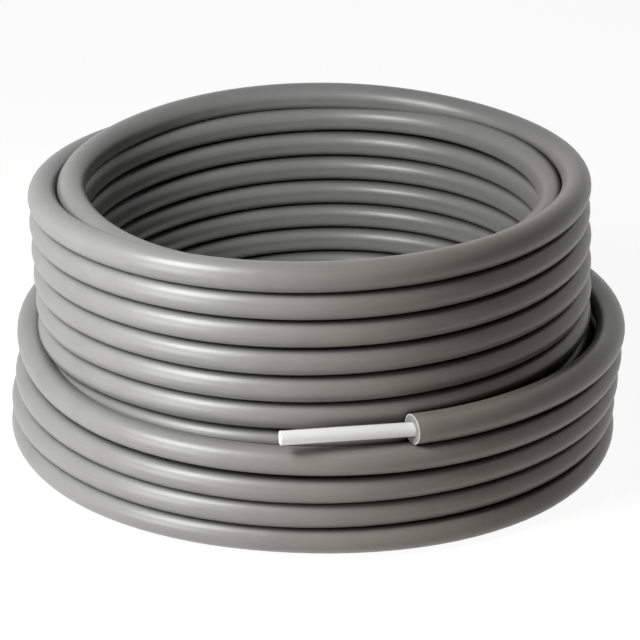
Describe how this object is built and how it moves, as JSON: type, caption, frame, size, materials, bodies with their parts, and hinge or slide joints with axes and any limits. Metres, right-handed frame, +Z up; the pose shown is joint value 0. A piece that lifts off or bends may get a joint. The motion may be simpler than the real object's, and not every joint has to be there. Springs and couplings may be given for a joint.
{
  "type": "insulated multilayer pipe coil",
  "caption": "Coil of foam-insulated multilayer pipe wound in three layers round an open eye, with a bare pipe end standing out of the sleeve.",
  "frame": {"origin": "on the coil's axis at the floor it lies on", "axes": "+Z up along the coil's axis; -Y is the front, where the free end leaves the coil and the bare pipe points mostly towards -X; +X is the right-hand side seen from the front"},
  "size_m": [0.733, 0.7375, 0.3474],
  "materials": {
    "foam": "closed-cell polyethylene foam sleeve with a thin smooth grey skin, soft sheen",
    "pipe": "white polyethylene outer layer of a multilayer pipe, smooth and satin"
  },
  "bodies": {
    "root": {"insulation": "foam", "pipe": "pipe"}
  },
  "joints": []
}
